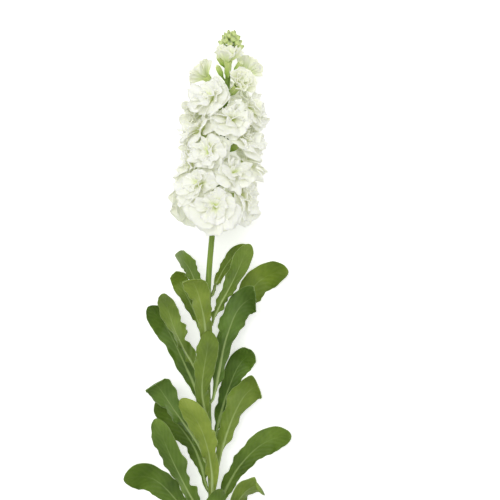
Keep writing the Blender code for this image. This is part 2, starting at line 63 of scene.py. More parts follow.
tuft_low, tuft_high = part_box("bud_tuft")
across = 0.5 * (tuft_low.x + tuft_high.x) + (0.5 * PICTURE_SIDE - TUFT_PIXEL[0]) * PIXEL
along = tuft_high.y - (0.5 * PICTURE_SIDE - TUFT_PIXEL[1]) * PIXEL
height = 0.5 * (tuft_low.z + tuft_high.z) + PICTURE_SIDE * PIXEL * LENS / SENSOR
lens = bpy.data.cameras.new("camera")
lens.lens = LENS
lens.sensor_width = SENSOR
camera = bpy.data.objects.new("camera", lens)
camera.location = (across, along, height)
bpy.context.scene.collection.objects.link(camera)
bpy.context.scene.camera = camera
bpy.context.scene.view_settings.view_transform = "Standard"


def new_finish(name, sockets):
    """A new material for a finish to be drawn in, with its node tree and its Principled shader. What is
    the same all over the surface is set on the shader's own sockets."""
    made = bpy.data.materials.new(name)
    made.use_nodes = True
    shader = made.node_tree.nodes["Principled BSDF"]
    for socket, value in sockets.items():
        shader.inputs[socket].default_value = value
    return made, made.node_tree, shader


def grey(level):
    return level, level, level


def ramp(tree, factor, *stops):
    """A colour ramp on this output. Each stop is its place and its colour."""
    made = tree.nodes.new("ShaderNodeValToRGB")
    for index, (place, colour) in enumerate(stops):
        stop = made.color_ramp.elements[index] if index < 2 else made.color_ramp.elements.new(place)
        stop.position = place
        stop.color = (*colour, 1.0)
    tree.links.new(factor, made.inputs["Fac"])
    return made.outputs["Color"]


def studio_white():
    """The matt white of the table top, lit a little from within, with a trace of mottling."""
    made, tree, shader = new_finish("studio_white", {
        "Roughness": 0.9, "Specular IOR Level": 0.2, "Emission Strength": TABLE_GLOW})
    mottle = tree.nodes.new("ShaderNodeTexNoise")
    mottle.inputs["Scale"].default_value = TABLE_MOTTLE
    shade = ramp(tree, mottle.outputs["Fac"], (0.0, grey(0.955)), (1.0, grey(0.975)))
    tree.links.new(shade, shader.inputs["Base Color"])
    tree.links.new(shade, shader.inputs["Emission Color"])
    return made


shape = bmesh.new()
bmesh.ops.create_grid(shape, x_segments=1, y_segments=1, size=0.5 * TABLE_SIDE)
bmesh.ops.translate(shape, verts=shape.verts, vec=(0.0, 0.0, -TABLE_GAP))
table = bpy.data.objects.new("table", bpy.data.meshes.new("table"))
shape.to_mesh(table.data)
shape.free()
table.data.materials.append(studio_white())
bpy.context.scene.collection.objects.link(table)


def soft_box(name, place, side, power):
    """A square soft box that hangs at this place and shines at the middle of the flower head."""
    light = bpy.data.lights.new(name, "AREA")
    light.shape = "SQUARE"
    light.size = side
    light.energy = power
    hung = bpy.data.objects.new(name, light)
    hung.location = place
    hung.rotation_mode = "QUATERNION"
    hung.rotation_quaternion = (Vector(HEAD_PLACE) - Vector(place)).to_track_quat("-Z", "Y")
    bpy.context.scene.collection.objects.link(hung)


soft_box("key_light", (-0.35, 0.50, 1.90), 1.1, 15.2)
soft_box("fill_light", (0.9, -0.2, 1.6), 1.6, 3.0)
room = bpy.data.worlds.new("studio")
room.use_nodes = True
room.node_tree.nodes["Background"].inputs["Color"].default_value = (1.0, 1.0, 1.0, 1.0)
room.node_tree.nodes["Background"].inputs["Strength"].default_value = ROOM_LIGHT
bpy.context.scene.world = room

# The green stem: one round, faintly ridged stalk, thickest at its slanted cut and swollen where each
# leaf sits. It follows the same line as the solid stem of the frame, whose foot says where it starts.
STEM_LENGTH = 0.568
CUT_RADIUS = 0.0036
TIP_RADIUS = 0.0023
TAPER_POWER = 0.5
HEAD_HEIGHT = 0.027
RISE_LENGTH = 0.400
LEAN_START = 0.360
TIP_LEAN = 0.016
LEAN_POWER = 1.6
SWAY = 0.003
SWAY_LENGTH = 0.400
CUT_SLANT = math.radians(32.0)
UP = np.array((0.0, 0.0, 1.0))


def mix(a, b, share):
    """The value this share of the way from a to b."""
    return a + (b - a) * share


def smooth(x, start, end):
    """A ramp from 0 at the start to 1 at the end, level at both."""
    x = np.clip((x - start) / (end - start), 0.0, 1.0)
    return x * x * (3.0 - 2.0 * x)


def unit(v):
    """A direction, or rows of directions, at length 1."""
    return v / np.linalg.norm(v, axis=-1, keepdims=True)


def around(first, second, turn):
    """The direction at this angle from the first direction towards the second."""
    return first * np.cos(turn) + second * np.sin(turn)


def line_of_stem(station):
    """The stem's centreline before it is set down: it rises from the cut end to the flower head."""
    station = np.asarray(station, float)
    past = np.maximum(0.0, (station - LEAN_START) / (STEM_LENGTH - LEAN_START))
    lean = TIP_LEAN * past**LEAN_POWER
    sway = SWAY * np.sin(2.0 * math.pi * station / SWAY_LENGTH)
    rise = mix(CUT_RADIUS, HEAD_HEIGHT, smooth(station, 0.0, RISE_LENGTH))
    return np.stack([lean + sway, station, rise], axis=-1)


FOOT_DEPTH = 2.0 * CUT_RADIUS
foot_low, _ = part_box("stem")
foot = [v.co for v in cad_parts["stem"].data.vertices if v.co.y < foot_low.y + FOOT_DEPTH]
foot_x = 0.5 * (min(v.x for v in foot) + max(v.x for v in foot))
foot_y = 0.5 * (min(v.y for v in foot) + max(v.y for v in foot)) - foot_low.y
SET_DOWN = np.array((foot_x - line_of_stem(foot_y)[0], foot_low.y, foot_low.z))


def axis_point(station):
    """The stem's centreline where it lies."""
    return line_of_stem(station) + SET_DOWN


def axis_frame(station):
    """The stem's direction at a station, then the directions to its right and upwards from it."""
    step = 0.002
    along = unit(axis_point(np.add(station, step)) - axis_point(np.subtract(station, step)))
    right = unit(np.cross(along, UP))
    return along, right, np.cross(right, along)


def outward(station, azimuth):
    """The direction away from the stem at this angle round it: 0 is right and a quarter turn is up."""
    _, right, up = axis_frame(station)
    return around(right, up, np.asarray(azimuth)[..., None])


def stem_radius(station):
    return mix(CUT_RADIUS, TIP_RADIUS, (station / STEM_LENGTH) ** TAPER_POWER)


def sheets(name, count, rows, columns, surface, rolled=False):
    """One mesh of this many separate sheets, each from its own grid with its own UV map, across and
    along. surface(number, t, v) gives a sheet's points: t runs 0 to 1 from its base to its tip and v
    runs -1 to 1 across it. Sheets that are rolled into closed tubes are welded along their seams."""
    shape = bmesh.new()
    shape.loops.layers.uv.new("UVMap")
    for _ in range(count):
        bmesh.ops.create_grid(shape, x_segments=columns, y_segments=rows, size=1.0, calc_uvs=True)
    mesh = bpy.data.meshes.new(name)
    shape.to_mesh(mesh)
    shape.free()
    flat = np.empty(3 * len(mesh.vertices))
    mesh.vertices.foreach_get("co", flat)
    grids = flat.reshape(count, -1, 3)
    points = [surface(number, 0.5 * (grid[:, 1] + 1.0), grid[:, 0]) for number, grid in enumerate(grids)]
    mesh.vertices.foreach_set("co", np.concatenate(points).ravel())
    if rolled:
        shape = bmesh.new()
        shape.from_mesh(mesh)
        bmesh.ops.remove_doubles(shape, verts=shape.verts, dist=1e-6)
        bmesh.ops.recalc_face_normals(shape, faces=shape.faces)
        shape.to_mesh(mesh)
        shape.free()
    mesh.shade_smooth()
    return mesh


def grown(name, mesh, finishes, replaced):
    """A finished piece of the stem: its mesh and finishes, and the CAD nodes that it stands for."""
    made = bpy.data.objects.new(name, mesh)
    for finish in finishes:
        mesh.materials.append(finish)
    bpy.context.scene.collection.objects.link(made)
    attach(made, "root")
    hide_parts(*replaced)
    return made


def noise(tree, coordinates, scale, detail=3.0, stretch=(1.0, 1.0, 1.0)):
    """A noise pattern on these coordinates, stretched along each axis."""
    spread = tree.nodes.new("ShaderNodeMapping")
    spread.inputs["Scale"].default_value = stretch
    tree.links.new(coordinates, spread.inputs["Vector"])
    made = tree.nodes.new("ShaderNodeTexNoise")
    made.inputs["Scale"].default_value = scale
    made.inputs["Detail"].default_value = detail
    tree.links.new(spread.outputs["Vector"], made.inputs["Vector"])
    return made.outputs["Fac"]


def blend(tree, kind, share, a, b):
    """Two colours joined: mixed, multiplied or overlaid, by a share that is a number or an output."""
    made = tree.nodes.new("ShaderNodeMix")
    made.data_type = "RGBA"
    made.blend_type = kind
    if isinstance(share, float):
        made.inputs["Factor"].default_value = share
    else:
        tree.links.new(share, made.inputs["Factor"])
    for socket, colour in ((made.inputs["A"], a), (made.inputs["B"], b)):
        if isinstance(colour, tuple):
            socket.default_value = (*colour, 1.0)
        else:
            tree.links.new(colour, socket)
    return made.outputs["Result"]


def relief(tree, shader, height, distance, strength=1.0):
    """Bumps the surface by this height pattern."""
    made = tree.nodes.new("ShaderNodeBump")
    made.inputs["Distance"].default_value = distance
    made.inputs["Strength"].default_value = strength
    tree.links.new(height, made.inputs["Height"])
    tree.links.new(made.outputs["Normal"], shader.inputs["Normal"])


def places(tree, output):
    """The piece's own coordinates: Object places in metres, or the UV map that follows a sheet."""
    return tree.nodes.new("ShaderNodeTexCoord").outputs[output]


def tinted(tree, share, colour, factor, *stops):
    """A colour multiplied, by this share, with a ramp on this output."""
    return blend(tree, "MULTIPLY", share, colour, ramp(tree, factor, *stops))


GREEN_FLESH = {"Subsurface Radius": (0.0010, 0.0014, 0.0004), "Subsurface Scale": 1.0}


def stem_skin():
    """Fresh green skin, streaked along its length with paler ribs, and dulled by a fine grey down."""
    made, tree, shader = new_finish("stem_skin", {
        "Roughness": 0.5, "Specular IOR Level": 0.35, "Sheen Weight": 0.15, "Sheen Roughness": 0.4,
        "Subsurface Weight": 0.10, **GREEN_FLESH})
    object_places = places(tree, "Object")
    streaks = noise(tree, object_places, 900.0, 4.0, (1.0, 0.03, 1.0))
    clouds = noise(tree, object_places, 40.0)
    green = ramp(tree, streaks, (0.30, (0.140, 0.230, 0.026)), (0.55, (0.200, 0.308, 0.038)),
                 (0.80, (0.280, 0.390, 0.064)))
    toned = tinted(tree, 0.45, green, clouds, (0.35, (0.70, 0.78, 0.62)), (0.65, grey(1.0)))
    tree.links.new(toned, shader.inputs["Base Color"])
    relief(tree, shader, streaks, 0.0002, 0.6)
    return made


def cut_pith():
    """The wet cut: a pale, finely grained pith."""
    made, tree, shader = new_finish("cut_pith", {"Roughness": 0.35})
    grain = noise(tree, places(tree, "Object"), 1500.0, 5.0)
    pith = ramp(tree, grain, (0.30, (0.42, 0.50, 0.24)), (0.65, (0.66, 0.70, 0.44)))
    tree.links.new(pith, shader.inputs["Base Color"])
    relief(tree, shader, grain, 0.0002, 0.7)
    return made


STEM_ROWS = 230
STEM_SIDES = 28
STEM_RIDGES = 5
RIDGE_DEPTH = 0.045
RIDGE_TWIST = 9.0
NODE_SWELL = 0.00055
NODE_LENGTH = 0.0045
NODE_BACK_SHARE = 0.35
LEAVES = 20
FIRST_LEAF = 0.095
LAST_LEAF = 0.352
ROW_AZIMUTHS = (90.0, 216.0, 28.0, 152.0, -36.0)
CUT_SHARE = 0.02
CUT_REACH = 0.012
CUT_FACING = -0.6
CUT_DEPTH = 2.5 * CUT_RADIUS
TIP_CLOSING = 0.004
SHARP_ANGLE = math.radians(50.0)

stem_skin_green = stem_skin()


def leaf_station(number):
    return mix(FIRST_LEAF, LAST_LEAF, number / (LEAVES - 1))


def stem_surface(_, t, v):
    """The cut face from its middle out to its edge, and then the skin up to the closed tip."""
    station = STEM_LENGTH * np.clip((t - CUT_SHARE) / (1.0 - CUT_SHARE), 0.0, 1.0)
    turn = math.pi * v
    radius = stem_radius(station)
    radius = radius * (1.0 + RIDGE_DEPTH * np.cos(STEM_RIDGES * turn + RIDGE_TWIST * station))
    for number in range(LEAVES):
        azimuth = math.radians(ROW_AZIMUTHS[number % len(ROW_AZIMUTHS)])
        near = np.exp(-(((station - leaf_station(number)) / NODE_LENGTH) ** 2))
        radius = radius + NODE_SWELL * near * mix(NODE_BACK_SHARE, 1.0, np.cos(0.5 * (turn - azimuth)) ** 4)
    reach = radius * np.clip(t / CUT_SHARE, 0.0, 1.0) * np.clip((1.0 - t) / TIP_CLOSING, 0.0, 1.0)
    points = axis_point(station) + outward(station, turn) * reach[:, None]
    slant = math.tan(CUT_SLANT)
    from_plane = SET_DOWN[1] + CUT_RADIUS * slant + (points[:, 2] - SET_DOWN[2] - CUT_RADIUS) * slant
    near_cut = t <= CUT_SHARE + CUT_REACH
    points[:, 1] = np.where(near_cut, np.maximum(points[:, 1], from_plane), points[:, 1])
    return points


stem = grown("green_stem", sheets("green_stem", 1, STEM_ROWS, STEM_SIDES, stem_surface, rolled=True),
             [stem_skin_green, cut_pith()], ["stem"])
for face in stem.data.polygons:
    if face.normal.y < CUT_FACING and face.center.y < foot_low.y + CUT_DEPTH:
        face.material_index = 1
stem.data.set_sharp_from_angle(angle=SHARP_ANGLE)

# The flower stalks: thin green pedicels on a golden-angle spiral. Each one ends in a calyx of four
# narrow upright sepals, pressed together into a cup, whose tips part round the petals or the bud.
Band = namedtuple("Band", "count pitch reach rise lift radius size")

# A band is a run of like stalks: how many, how far apart, and then, for its lowest and its highest, how
# far out and up the cup's mouth stands, how far it leans off the stem, and its flower's radius and size.
BANDS = (
    Band(18, 0.0053, (0.0182, 0.0155), (0.0080, 0.0140), (82.0, 54.0), (0.0285, 0.0275), (1.0, 1.0)),
    Band(4, 0.0056, (0.0170, 0.0125), (0.0160, 0.0180), (50.0, 34.0), (0.0185, 0.0165), (1.0, 0.92)),
    Band(3, 0.0056, (0.0115, 0.0100), (0.0125, 0.0080), (38.0, 34.0), (0.0024, 0.0024), (0.80, 0.72)),
)
STALK_DRAW = random.Random(11)
GOLDEN_TURN = math.radians(137.508)
FIRST_STALK = 0.424
FIRST_TURN = math.radians(90.0)
AZIMUTH_DRAW = 0.20
LIFT_DRAW = 14.0
UNDERSIDE_SECTOR = math.radians(28.0)
CALYX_LENGTH = 0.0105
CALYX_RADIUS = 0.0026
PEDICEL_RADIUS = 0.0009
PEDICEL_BEND = 0.4
PEDICEL_FOOT_SWELL = 0.5
PEDICEL_FOOT_END = 0.25
PEDICEL_TOP_SWELL = 0.35
PEDICEL_TOP_START = 5.0 / 6.0
FLORET_RISE = 0.0045
FLORET_REST_SHARE = 0.5
CALYX_REST_SHARE = 0.2
Stalk = namedtuple("Stalk", "root above base mouth facing centre radius size band")


def pushed_aside(azimuth):
    """Turns a stalk that would point straight down at the table off to the side it leans to."""
    from_below = (azimuth + 1.5 * math.pi) % (2.0 * math.pi) - math.pi
    side = 1.0 if from_below >= 0.0 else -1.0
    spread = UNDERSIDE_SECTOR + abs(from_below) * (1.0 - UNDERSIDE_SECTOR / math.pi)
    return side * spread - 0.5 * math.pi


def grown_stalks():
    """Every stalk of the spike, from the lowest to the highest."""
    stalks = []
    station = FIRST_STALK
    for order, band in enumerate(BANDS):
        for index in range(band.count):
            reach, rise, lift, radius, size = (mix(*pair, index / (band.count - 1)) for pair in band[2:])
            turn = FIRST_TURN + len(stalks) * GOLDEN_TURN
            azimuth = pushed_aside(turn + STALK_DRAW.uniform(-AZIMUTH_DRAW, AZIMUTH_DRAW))
            along, _, _ = axis_frame(station)
            away = outward(station, azimuth)
            tilt = math.radians(lift + STALK_DRAW.uniform(-LIFT_DRAW, LIFT_DRAW))
            facing = unit(around(along, away, tilt))
            root = axis_point(station)
            mouth = root + away * reach + along * rise
            centre = mouth + facing * FLORET_RISE * size
            lowest = FLORET_REST_SHARE * radius + CALYX_REST_SHARE * CALYX_RADIUS + SET_DOWN[2]
            lifted = UP * max(lowest - centre[2], 0.0)
            mouth, centre = mouth + lifted, centre + lifted
            base = mouth - facing * CALYX_LENGTH * size
            above = axis_point(station + band.pitch)
            stalks.append(Stalk(root, above, base, mouth, facing, centre, radius, size, order))
            station += band.pitch
    return stalks


STALKS = grown_stalks()


def round_about(facing):
    """Two directions at right angles to this one, from which angles round it are measured."""
    first = np.array(Vector(facing).orthogonal().normalized())
    return first, np.cross(facing, first)


def pedicel_surface(number, t, v):
    """A pedicel: a quarter-bend out of the stem that swells a little at its foot and under the calyx."""
    one = STALKS[number]
    bend = one.base - one.facing * PEDICEL_BEND * np.linalg.norm(one.base - one.root)
    t = t[:, None]
    line = (1.0 - t) ** 2 * one.root + 2.0 * t * (1.0 - t) * bend + t**2 * one.base
    run = unit((1.0 - t) * (bend - one.root) + t * (one.base - bend))
    first = unit(np.cross(run, UP))
    second = np.cross(first, run)
    swell = 1.0 + PEDICEL_FOOT_SWELL * smooth(t, PEDICEL_FOOT_END, 0.0)
    swell = swell + PEDICEL_TOP_SWELL * smooth(t, PEDICEL_TOP_START, 1.0)
    return line + PEDICEL_RADIUS * swell * around(first, second, math.pi * v[:, None])


SEPALS = 4
SEPAL_WRAP = 0.981
SEPAL_REACHES = (0.0034, 0.0052, 0.0022)
SEPAL_FLARES = (0.0020, 0.0014, -0.0001)
SEPAL_FLARE_POWER = 1.5
SEPAL_FOOT = 0.36
SEPAL_SWELL_END = 0.45
SEPAL_SWELL_POWER = 0.8
SEPAL_STAGGER = 0.00022
SEPAL_TAPER = 0.86
SEPAL_TAPER_START = 0.1
SEPAL_TAPER_POWER = 1.7
SEPAL_KEEL = 0.00018
SEPAL_THICKNESS = 0.00035


def sepal_surface(index, t, v):
    """A sepal: a quarter of the cup's wall up to its mouth, and a free blunt point beyond it."""
    one = STALKS[index // SEPALS]
    first, second = round_about(one.facing)
    length = CALYX_LENGTH * one.size
    reach = SEPAL_REACHES[one.band] * one.size
    high = t * (length + reach)
    past = np.clip((high - length) / reach, 0.0, 1.0)
    wide = CALYX_RADIUS * one.size
    bulge = mix(SEPAL_FOOT, 1.0, smooth(high, 0.0, SEPAL_SWELL_END * length) ** SEPAL_SWELL_POWER) * wide
    radius = bulge + SEPAL_FLARES[one.band] * past**SEPAL_FLARE_POWER + SEPAL_STAGGER * (index % 2)
    tapered = np.clip((past - SEPAL_TAPER_START) / (1.0 - SEPAL_TAPER_START), 0.0, 1.0)
    taper = 1.0 - SEPAL_TAPER * tapered**SEPAL_TAPER_POWER
    turn = (2.0 * math.pi / SEPALS * (index % SEPALS + SEPAL_WRAP * v * taper))[:, None]
    keel = SEPAL_KEEL * (1.0 - np.abs(v)) * one.size
    away = around(first, second, turn)
    return one.base + one.facing * high[:, None] + away * (radius + keel)[:, None]


def thicken(made, thickness):
    """Gives thin sheets a thickness, half to either side."""
    wall = made.modifiers.new("thickness", "SOLIDIFY")
    wall.thickness = thickness
    wall.offset = 0.0


def sheet_places(tree):
    """How far across a sheet and how far along it a point lies, each from 0 to 1, by its UV map."""
    uv = tree.nodes.new("ShaderNodeSeparateXYZ")
    tree.links.new(places(tree, "UV"), uv.inputs["Vector"])
    return uv.outputs["X"], uv.outputs["Y"]


def sepal_skin():
    """Soft green sepals, darker along the keel, with a thin pale edge, that turn lime at their tips."""
    made, tree, shader = new_finish("sepal_skin", {
        "Roughness": 0.5, "Subsurface Weight": 0.15, **GREEN_FLESH})
    across, along = sheet_places(tree)
    edge, side, keel = (0.72, 0.82, 0.34), (0.46, 0.61, 0.13), (0.33, 0.47, 0.07)
    green = ramp(tree, across, (0.0, edge), (0.14, side), (0.50, keel), (0.86, side), (1.0, edge))
    green = tinted(tree, 1.0, green, along, (0.0, (0.80, 0.92, 0.75)), (0.6, grey(1.0)),
                   (1.0, (1.0, 0.95, 0.80)))
    paling = ramp(tree, along, (0.30, grey(0.0)), (0.80, grey(0.62)))
    green = blend(tree, "MIX", paling, green, (0.70, 0.80, 0.34))
    clouds = noise(tree, places(tree, "Object"), 500.0)
    toned = tinted(tree, 0.35, green, clouds, (0.3, (0.65, 0.72, 0.60)), (0.7, grey(1.0)))
    tree.links.new(toned, shader.inputs["Base Color"])
    relief(tree, shader, clouds, 0.0002, 0.4)
    return made


sepal_green = sepal_skin()
grown("pedicels", sheets("pedicels", len(STALKS), 14, 10, pedicel_surface, rolled=True),
      [stem_skin_green], ["stem"])
calyxes = grown("calyxes", sheets("calyxes", SEPALS * len(STALKS), 12, 6, sepal_surface),
                [sepal_green], ["stem"])
thicken(calyxes, SEPAL_THICKNESS)

# The open florets: double stock flowers of eighteen soft white petals each. A petal is a narrow
# green-tinted claw that spreads into a broad ruffled limb. The florets crowd each other, so each one is
# squeezed into a cell between its neighbours, the stem and the table.
Wall = namedtuple("Wall", "normal distance")
CELL_MARGIN = 0.0004
FLOOR_MARGIN = 0.0010
PETAL_REACH = 0.0014
CELL_SOFTNESS = 20.0
CELL_FACING = 0.05
CELL_FILL = 0.985
LEAST_ROOM = 0.001
PEDICEL_ROOM = (1.0 + PEDICEL_FOOT_SWELL) * PEDICEL_RADIUS
SEAT_GAP = 0.0003
TUFT_MIDDLE = 0.0090
TUFT_RADIUS = 0.0130


def wall_at(centre, point, stand_off):
    """A wall facing this centre, this far in front of a point."""
    away = point - centre
    far = np.linalg.norm(away)
    return Wall(away / far, max(far - stand_off, LEAST_ROOM))


def nearest(point, start, end):
    """The point of a straight run that is nearest to a point."""
    run = end - start
    return start + run * np.clip(np.dot(point - start, run) / np.dot(run, run), 0.0, 1.0)


def cell(me):
    """The walls round the floret of one stalk: their directions, and how far off they stand."""
    along, _, _ = axis_frame(STEM_LENGTH)
    tuft = axis_point(STEM_LENGTH) + along * TUFT_MIDDLE
    walls = [Wall(-UP, me.centre[2] - SET_DOWN[2] - FLOOR_MARGIN), wall_at(me.centre, tuft, TUFT_RADIUS)]
    for other in STALKS:
        spine = nearest(me.centre, other.root, other.above)
        walls.append(wall_at(me.centre, spine, stem_radius(FIRST_STALK) + CELL_MARGIN))
        if other is me:
            continue
        between = other.centre - me.centre
        gap = np.linalg.norm(between)
        walls.append(Wall(between / gap, gap * me.radius / (me.radius + other.radius) + PETAL_REACH))
        pedicel = nearest(me.centre, other.root, other.base)
        calyx = nearest(me.centre, other.base, other.mouth)
        walls.append(wall_at(me.centre, pedicel, PEDICEL_ROOM + CELL_MARGIN))
        walls.append(wall_at(me.centre, calyx, CALYX_RADIUS + CELL_MARGIN))
    return np.array([wall.normal for wall in walls]), np.array([wall.distance for wall in walls])


def squeezed(points, one, walls):
    """Draws points in towards the cell's centre, so that whatever lies within the radius fits the cell."""
    normals, distances = walls
    rays = points - one.centre
    far = np.maximum(np.linalg.norm(rays, axis=1), 1e-6)
    facing = (rays / far[:, None]) @ normals.T
    pushes = np.where(facing > CELL_FACING, facing / distances, 0.0) ** CELL_SOFTNESS
    room = (one.radius**-CELL_SOFTNESS + pushes.sum(axis=1)) ** (-1.0 / CELL_SOFTNESS)
    kept = np.minimum(far, CELL_FILL * one.radius)
    return one.centre + rays * (kept / far * room / one.radius)[:, None]


Whorl = namedtuple("Whorl", "count length width steep_from steep_to ruffle height cupping")

# A whorl is a ring of like petals: how many, their length and width, how steeply they leave the cup and
# how steeply they end, how deep their ruffles are, how high they root, and how far their sides draw in.
OPEN_WHORLS = (
    Whorl(5, 0.0310, 0.0290, 60.0, -34.0, 0.0026, 0.0012, 0.16),
    Whorl(4, 0.0290, 0.0275, 68.0, -14.0, 0.0032, 0.0018, 0.14),
    Whorl(4, 0.0250, 0.0245, 76.0, 6.0, 0.0034, 0.0024, 0.10),
    Whorl(3, 0.0195, 0.0210, 82.0, 30.0, 0.0030, 0.0029, 0.04),
    Whorl(2, 0.0140, 0.0160, 86.0, 56.0, 0.0020, 0.0033, -0.06),
)
FLORET_DRAW = random.Random(21)
RUFFLES = ((2, 0.60), (4, 0.75), (7, 0.60), (12, 0.38), (21, 0.15))
WHORL_TURN = 0.6
CLAW_ROOT = 0.0009
CLAW_CROWDING = 2.0
CLAW_WIDTH = 0.09
LIMB_START = 0.72
LIMB_END = 0.75
LIMB_NARROWING = 0.12
PETAL_OVERLAP = 0.22
PETAL_ROUNDING = 0.20
PETAL_ROWS = 14
PETAL_COLUMNS = 16
PETAL_THICKNESS = 0.00035
PETAL_TURN_DRAW = 0.10
PETAL_TILT_DRAW = 6.0
PETAL_TILT_GROWTH = 0.4
PETAL_LENGTH_DRAW = (0.90, 1.0)
PETAL_WIDTH_DRAW = (0.88, 1.08)
PETAL_NOTCH_DRAW = (0.0, 0.10)
PETAL_SKEW_DRAW = 0.25
NOTCH_SHIFT = 0.3
NOTCH_WIDTH = 0.16
FRILL_DEPTH = 0.020
FRILLS = ((11.0, 1.0, 0), (23.0, 0.6, 3))
BEND_POWER = 0.75
RUFFLE_POWER = 1.8
NEAREST_TURN = 0.004
CRINKLES = (9.0, 4.0)
CRINKLE_DEPTH = 0.00035
PLEATS = 8.0
PLEAT_DEPTH = 0.00045
PLEAT_START = 0.5
SKEW_SHIFT = 0.12
MIDLINE_PIECES = 20
FLORET_SEED = 500
Petal = namedtuple("Petal", "whorl turn tilt length width notch phases skew")


def drawn_petals(number, whorls, start, first_phases):
    """The petals of one floret, each a little different from its neighbours."""
    draw = random.Random(FLORET_SEED + number).uniform
    petals = []
    for layer, whorl in enumerate(whorls):
        phases = [draw(0.0, 2.0 * math.pi) for _ in RUFFLES]
        if layer < len(first_phases):
            phases[1] = first_phases[layer]
        for index in range(whorl.count):
            turn = start + WHORL_TURN * layer + 2.0 * math.pi * index / whorl.count
            turn += draw(-PETAL_TURN_DRAW, PETAL_TURN_DRAW) * (1.0 + layer)
            tilt = draw(-PETAL_TILT_DRAW, PETAL_TILT_DRAW) * (1.0 + PETAL_TILT_GROWTH * layer)
            length = whorl.length * draw(*PETAL_LENGTH_DRAW)
            width = whorl.width * draw(*PETAL_WIDTH_DRAW)
            notch = draw(*PETAL_NOTCH_DRAW)
            skew = draw(-PETAL_SKEW_DRAW, PETAL_SKEW_DRAW)
            petals.append(Petal(whorl, turn, tilt, length, width, notch, phases, skew))
    return petals


def petal_width(t):
    """A petal is a narrow claw that spreads into a broad, blunt limb."""
    blunt = 1.0 - LIMB_NARROWING * smooth(t, LIMB_END, 1.0)
    return mix(CLAW_WIDTH, 1.0, smooth(t, 0.0, LIMB_START)) * blunt


def petal_points(one, walls, petal, t, v):
    """The points of one ruffled petal, rooted in the core of the floret on this stalk."""
    whorl = petal.whorl
    first, second = round_about(one.facing)
    radial = around(first, second, petal.turn)
    sideways = np.cross(one.facing, radial)
    margin = t * (1.0 - PETAL_ROUNDING * v * v * t)
    margin = margin - petal.notch * np.exp(-((v - NOTCH_SHIFT * petal.skew) / NOTCH_WIDTH) ** 2) * t**5
    frill = sum(share * np.sin(waves * v + petal.phases[phase]) for waves, share, phase in FRILLS)
    margin = margin + FRILL_DEPTH * frill * t**6
    done = (np.arange(MIDLINE_PIECES)[None, :] + 0.5) / MIDLINE_PIECES * margin[:, None]
    steep = np.radians(mix(whorl.steep_from, whorl.steep_to, done**BEND_POWER) + petal.tilt * done)
    step = (petal.length * margin / MIDLINE_PIECES)[:, None]
    claw_root = CLAW_ROOT * (whorl.count / OPEN_WHORLS[0].count) ** CLAW_CROWDING
    out = claw_root + (np.cos(steep) * step).sum(axis=1)
    high = whorl.height + (np.sin(steep) * step).sum(axis=1)
    half = 0.5 * petal.width * petal_width(margin)
    round_floret = petal.turn + np.arctan2(half * v, np.maximum(out, NEAREST_TURN))
    wave = sum(share * np.sin(waves * round_floret + phase)
               for (waves, share), phase in zip(RUFFLES, petal.phases))
    lift = PETAL_OVERLAP * half * v + whorl.ruffle * margin**RUFFLE_POWER * wave
    crinkle = np.sin(CRINKLES[0] * margin + CRINKLES[1] * v + petal.phases[2]) * margin
    lift = lift + CRINKLE_DEPTH * crinkle
    pleat = np.sin(PLEATS * v + petal.phases[4]) * smooth(margin, 0.0, PLEAT_START) * (1.0 - 0.5 * margin)
    lift = lift + PLEAT_DEPTH * pleat
    lean = steep[:, -1]
    out = out - whorl.cupping * half * v * v * margin - np.sin(lean) * lift
    high = high + np.cos(lean) * lift
    side = half * (v + SKEW_SHIFT * petal.skew * margin)
    points = one.mouth + radial * out[:, None] + sideways * side[:, None]
    points = points + one.facing * (high + SEAT_GAP)[:, None]
    return squeezed(points, one, walls)


def paint(mesh, name, values):
    """Gives the points of a mesh a value that its finish reads: one for all, or one each."""
    made = mesh.attributes.new(name, "FLOAT", "POINT")
    made.data.foreach_set("value", values * np.ones(len(mesh.vertices)))


def floret_mesh(name, one, petals):
    """The petals of one floret in one mesh. Each point carries its petal's depth in the floret, 1 for
    the innermost, and a tone of its petal's own."""
    walls = cell(one)
    mesh = sheets(name, len(petals), PETAL_ROWS, PETAL_COLUMNS,
                  lambda index, t, v: petal_points(one, walls, petals[index], t, v))
    deepest = max(petal.whorl.height for petal in petals)
    depths = [petal.whorl.height / deepest for petal in petals]
    each = len(mesh.vertices) // len(petals)
    paint(mesh, "depth", np.repeat(depths, each))
    tones = random.Random(name)
    paint(mesh, "tone", np.repeat([tones.random() for _ in petals], each))
    return mesh


# Painted light: the petals glow faintly, tinted yellow-green, which lightens their shade as light passing
# through and between so many thin petals would.
PETAL_PAINTED_GLOW = 0.068
PETAL_PAINTED_GLOW_TINT = (0.97, 1.0, 0.62)
THROAT_DEPTH = 0.22


def painted(tree, name):
    """A value that the mesh's points carry."""
    made = tree.nodes.new("ShaderNodeAttribute")
    made.attribute_name = name
    return made.outputs["Fac"]


def math_node(tree, operation, *values):
    """A sum of values, each a number or an output."""
    made = tree.nodes.new("ShaderNodeMath")
    made.operation = operation
    for socket, value in zip(made.inputs, values):
        if isinstance(value, float):
            socket.default_value = value
        else:
            tree.links.new(value, socket)
    return made.outputs["Value"]


